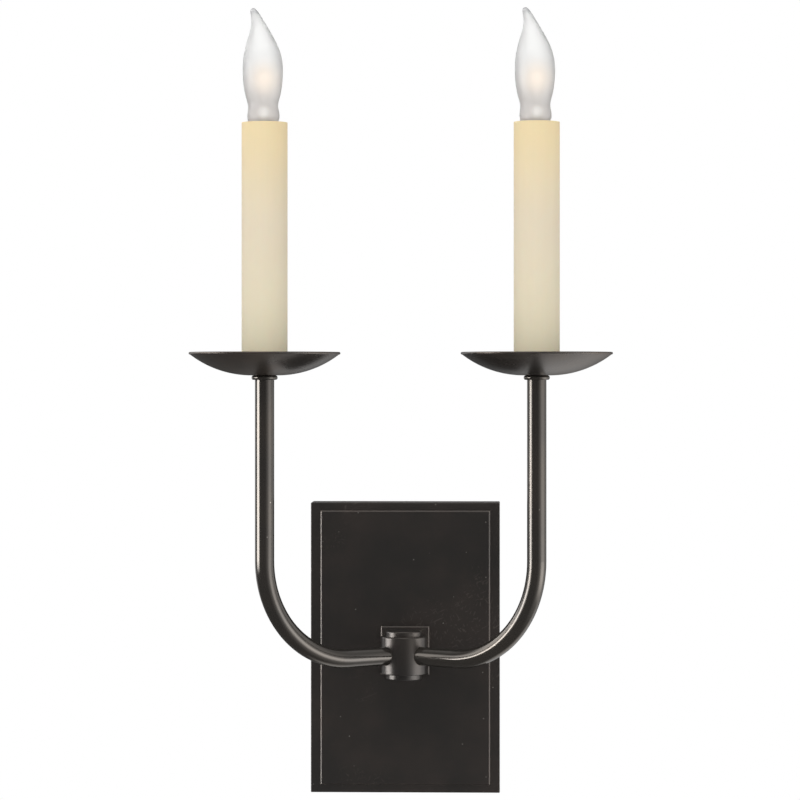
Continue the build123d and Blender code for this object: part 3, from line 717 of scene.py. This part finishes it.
def filament_coil(side):
    """A fine coil along a low arch, in place of the plain rod."""
    low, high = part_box(f"{side}_bulb_filament")
    middle = (low + high) / 2
    thick = (high.y - low.y) / 2
    reach = (high.x - low.x) / 2 - thick / 2
    foot, crown = low.z + thick, high.z - thick
    rise = crown - foot
    radius = (reach * reach + rise * rise) / (2 * rise)
    turn = math.asin(reach / radius)
    coil = thick - FILAMENT_WIRE
    line = bpy.data.curves.new(f"{side}_filament_coil", "CURVE")
    line.dimensions = "3D"
    line.bevel_depth = FILAMENT_WIRE
    line.bevel_resolution = 2
    last = FILAMENT_TURNS * FILAMENT_STEPS
    spline = line.splines.new("POLY")
    spline.points.add(last)
    for step in range(last + 1):
        share = step / last
        lean = turn * (2 * share - 1)
        about = 2 * math.pi * FILAMENT_TURNS * share
        out = radius + coil * math.cos(about)
        point = Vector((
            middle.x + out * math.sin(lean),
            middle.y + coil * math.sin(about),
            crown - radius + out * math.cos(lean),
        ))
        spline.points[step].co = (*point, 1.0)
    add_piece(line.name, line, f"{side}_bulb", "tungsten", f"{side}_bulb_filament")


# ---- studio --------------------------------------------------------------------------------
WHITE = rgb(1.0, 1.0, 1.0)
DOME_LIGHT = 0.71               # strength of the plain light from all round
DOME_FRONT = 1.14               # and where it is strongest, in front and a little to the left
DOME_LEFTWARD = 0.18
DOME_EDGES = (-1.04, 0.10)      # from there to just behind the sides

# What polished metal sees of the studio, as soft-edged panels: strength, then the four edges
# by compass from the front (right is plus) and by elevation, all in degrees.
FRONT_ROOM = 0.10               # the dark room in front and around
STRIP_BOX = (12.0, (-103, -90, -70, -57), (-13, -3, 3, 8))
STRIP_HEAD = (2.9, (-150, -112, -86, -62), (3, 9, 20, 38))
LEFT_FLAT = (0.6, (-168, -150, -124, -108), (-22, -9, 20, 50))
RIGHT_WALL = (0.95, (8, 62, 104, 166), (-75, -10, 10, 60))
LOW_CARD = (2.8, (40, 68, 86, 112), (-40, -16, -10, 4))
CEILING = (1.1, (-181, -180, 180, 181), (35, 75, 89, 90))
PANELS = (STRIP_BOX, STRIP_HEAD, LEFT_FLAT, RIGHT_WALL, LOW_CARD, CEILING)

# The pale sweep below and behind, by height and by depth, and its strength from left to right.
SWEEP_DROP = (-0.08, -0.85)
SWEEP_DEPTH = (0.0, 0.4)
SWEEP_ACROSS = (-0.16, 0.10, 0.03, 1.15)
WHITE_BEHIND = (0.99, 0.9985)   # metal that mirrors what is straight behind shows the white


class Room:
    """Directions out of the object, by compass from the front (right is plus) and elevation."""

    def __init__(self, nodes):
        self.nodes = nodes
        towards = nodes.add("ShaderNodeTexCoord").outputs["Generated"]
        parts = nodes.add("ShaderNodeSeparateXYZ", {0: towards}).outputs
        self.across, self.back, self.rise = parts
        front = nodes.times(self.back, -1.0)
        self.compass = nodes.math("ARCTAN2", self.across, front)
        self.elevation = nodes.math("ARCSINE", self.rise)

    def window(self, value, edges):
        """1 between the two middle edges and 0 outside the outer two, in degrees."""
        first, second, third, fourth = (math.radians(edge) for edge in edges)
        opened = self.nodes.span(value, first, second)
        shut = self.nodes.span(value, fourth, third)
        return self.nodes.times(opened, shut)

    def panel(self, strength, compass, elevation):
        shape = self.nodes.times(
            self.window(self.compass, compass), self.window(self.elevation, elevation)
        )
        return self.nodes.times(shape, strength)


def soft_dome(nodes, room):
    """The plain light on everything but metal's reflections: soft, and stronger in front."""
    aside = nodes.math("ADD", room.back, nodes.times(room.across, DOME_LEFTWARD))
    return nodes.span(aside, *DOME_EDGES, DOME_FRONT, DOME_LIGHT)


def reflected_room(nodes, room):
    """The studio's panels, its sweep and the white straight behind."""
    total = FRONT_ROOM
    for panel in PANELS:
        total = nodes.math("ADD", total, room.panel(*panel))
    below = nodes.times(nodes.span(room.rise, *SWEEP_DROP), nodes.span(room.back, *SWEEP_DEPTH))
    sweep = nodes.times(below, nodes.span(room.across, *SWEEP_ACROSS))
    total = nodes.math("ADD", total, sweep)
    return nodes.math("MAXIMUM", total, nodes.span(room.back, *WHITE_BEHIND))


def studio_world():
    """White for the camera and through glass; metal reflects the studio; the rest is soft light."""
    world = bpy.data.worlds.new("studio_room")
    bpy.context.scene.world = world
    world.use_nodes = True
    nodes = Nodes(world.node_tree)
    rays = nodes.add("ShaderNodeLightPath").outputs
    room = Room(nodes)
    strength = soft_dome(nodes, room)
    strength = nodes.blend(rays["Is Glossy Ray"], strength, reflected_room(nodes, room))
    strength = nodes.blend(rays["Is Transmission Ray"], strength, 1.0)
    strength = nodes.blend(rays["Is Camera Ray"], strength, 1.0)
    background = world.node_tree.nodes["Background"].inputs
    background["Color"].default_value = WHITE
    nodes.feed(background["Strength"], strength)


FLOOR_Z = -1.2
FLOOR_REACH = 8.0
FLOOR_PALE = rgb(0.93, 0.93, 0.93)
FLOOR_CLOUD = rgb(0.90, 0.90, 0.90)


def studio_floor():
    mesh = bpy.data.meshes.new("studio_floor")
    turns = ((-1, -1), (1, -1), (1, 1), (-1, 1))
    points = [(x * FLOOR_REACH, y * FLOOR_REACH, FLOOR_Z) for x, y in turns]
    mesh.from_pydata(points, [], [(0, 1, 2, 3)])
    floor = bpy.data.objects.new("studio_floor", mesh)
    bpy.context.scene.collection.objects.link(floor)
    material, nodes, shader = finish_material("pale_floor", Roughness=0.9)
    cloudy = nodes.effect(EFFECTS["cloudy"], Cloud_Scale=1.5, Grain_Scale=60.0)
    nodes.feed(shader["Base Color"], nodes.tint(cloudy["Cloud"], FLOOR_PALE, FLOOR_CLOUD))
    mesh.materials.append(material)
    floor.visible_glossy = False


LIGHT_MIDDLE = Vector((0.0, -0.08, 0.10))
OVERHEAD_PLACE = Vector((-0.35, -0.85, 1.35))
OVERHEAD_SIZE = (1.5, 1.1)
OVERHEAD_RADIANCE = 0.5


def overhead_softbox():
    """A wide soft lamp above and in front, out of the camera's sight."""
    width, height = OVERHEAD_SIZE
    lamp = bpy.data.lights.new("overhead", "AREA")
    lamp.shape = "RECTANGLE"
    lamp.size = width
    lamp.size_y = height
    lamp.energy = OVERHEAD_RADIANCE * math.pi * width * height
    softbox = bpy.data.objects.new("overhead", lamp)
    softbox.location = OVERHEAD_PLACE
    aim = LIGHT_MIDDLE - OVERHEAD_PLACE
    softbox.rotation_euler = aim.to_track_quat("-Z", "Y").to_euler()
    softbox.visible_camera = False
    bpy.context.scene.collection.objects.link(softbox)


# ---- the whole scene -----------------------------------------------------------------------
bpy.context.scene.view_settings.view_transform = "Standard"
make_camera()
studio_world()
studio_floor()
overhead_softbox()
dress_cad_nodes()
wire_nuts()
for side in SIDES:
    bulb_threads(side)
    filament_coil(side)
